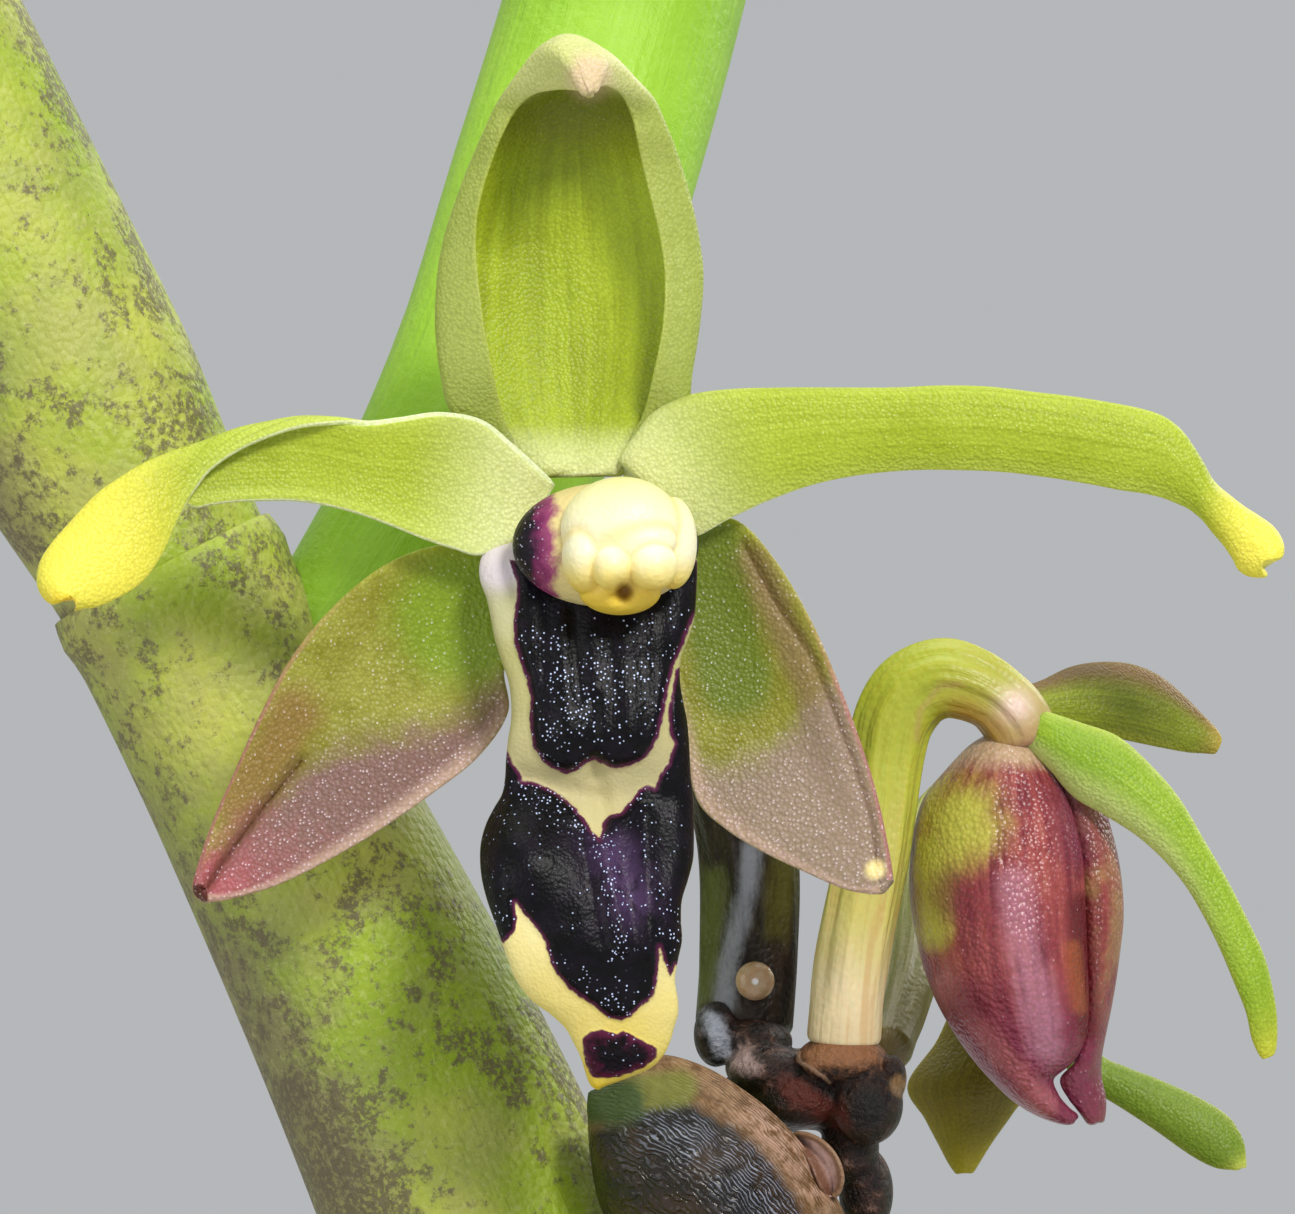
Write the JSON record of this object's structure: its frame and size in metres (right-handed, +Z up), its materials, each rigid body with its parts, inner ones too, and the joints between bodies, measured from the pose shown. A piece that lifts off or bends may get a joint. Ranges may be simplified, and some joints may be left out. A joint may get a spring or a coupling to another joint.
{
  "type": "potted luisia curtisii orchid",
  "caption": "Orchid with slim canes, round pencil-like leaves and a short spike of small yellow-green flowers with dark lips, growing in bark in a plain clay pot.",
  "frame": {"origin": "centre of the underside of the pot, on the surface it stands on", "axes": "+Z up; -Y is the front, the way the open flower faces; +X to the viewer's right"},
  "size_m": [0.1946, 0.1488, 0.3175],
  "materials": {
    "pot_clay": "plain unglazed terracotta, matt, slightly weathered",
    "potting_bark": "coarse dark brown bark chips, matt",
    "cane": "green stem speckled with grey brown",
    "leaf": "smooth fleshy green, soft sheen",
    "old_sheath": "dry papery brown leaf sheath",
    "root": "pale grey spongy root skin with a green tip",
    "dorsal_sepal": "yellow-green fleshy sepal with a glittering skin and pale edges",
    "petal": "yellow-green fleshy petal, yellow at the tip",
    "lateral_sepal": "green sepal flushed purple pink towards its tip",
    "lip": "glossy black purple with cream band and edges",
    "column": "cream column flushed dark purple on its sides",
    "anther_cap": "cream yellow, waxy",
    "flower_stalk": "ribbed tan to purple brown stalk",
    "flower_spike": "knobby dark brown",
    "bract": "dry wrinkled dark brown scale",
    "sap": "clear amber drop of nectar"
  },
  "bodies": {
    "root": {"pot": "pot_clay", "cane_1": "cane", "sheath_1_1": "old_sheath", "sheath_1_2": "old_sheath", "leaf_1_3": "leaf", "leaf_1_4": "leaf", "leaf_1_5": "leaf", "leaf_1_6": "leaf", "leaf_1_7": "leaf", "leaf_1_8": "leaf", "leaf_1_9": "leaf", "leaf_1_10": "leaf", "leaf_1_11": "leaf", "cane_2": "cane", "sheath_2_1": "old_sheath", "leaf_2_2": "leaf", "leaf_2_3": "leaf", "leaf_2_4": "leaf", "leaf_2_5": "leaf", "leaf_2_6": "leaf", "cane_3": "cane", "leaf_3_1": "leaf", "leaf_3_2": "leaf", "leaf_3_3": "leaf", "leaf_3_4": "leaf", "root_1": "root", "root_2": "root", "root_3": "root", "potting_bark": "potting_bark", "flower_spike": "flower_spike", "flower_stalk_1": "flower_stalk", "flower_stalk_2": "flower_stalk", "flower_stalk_3": "flower_stalk", "spike_bract": "bract", "small_bract": "bract", "sap_drop": "sap", "dorsal_sepal_1": "dorsal_sepal", "left_petal_1": "petal", "right_petal_1": "petal", "left_sepal_1": "lateral_sepal", "right_sepal_1": "lateral_sepal", "lip_1": "lip", "column_1": "column", "anther_cap_1": "anther_cap", "dorsal_sepal_2": "dorsal_sepal", "left_petal_2": "petal", "right_petal_2": "petal", "left_sepal_2": "lateral_sepal", "right_sepal_2": "lateral_sepal", "lip_2": "lip", "column_2": "column", "anther_cap_2": "anther_cap", "dorsal_sepal_3": "dorsal_sepal", "left_petal_3": "petal", "right_petal_3": "petal", "left_sepal_3": "lateral_sepal", "right_sepal_3": "lateral_sepal", "lip_3": "lip", "column_3": "column", "anther_cap_3": "anther_cap"}
  },
  "joints": []
}
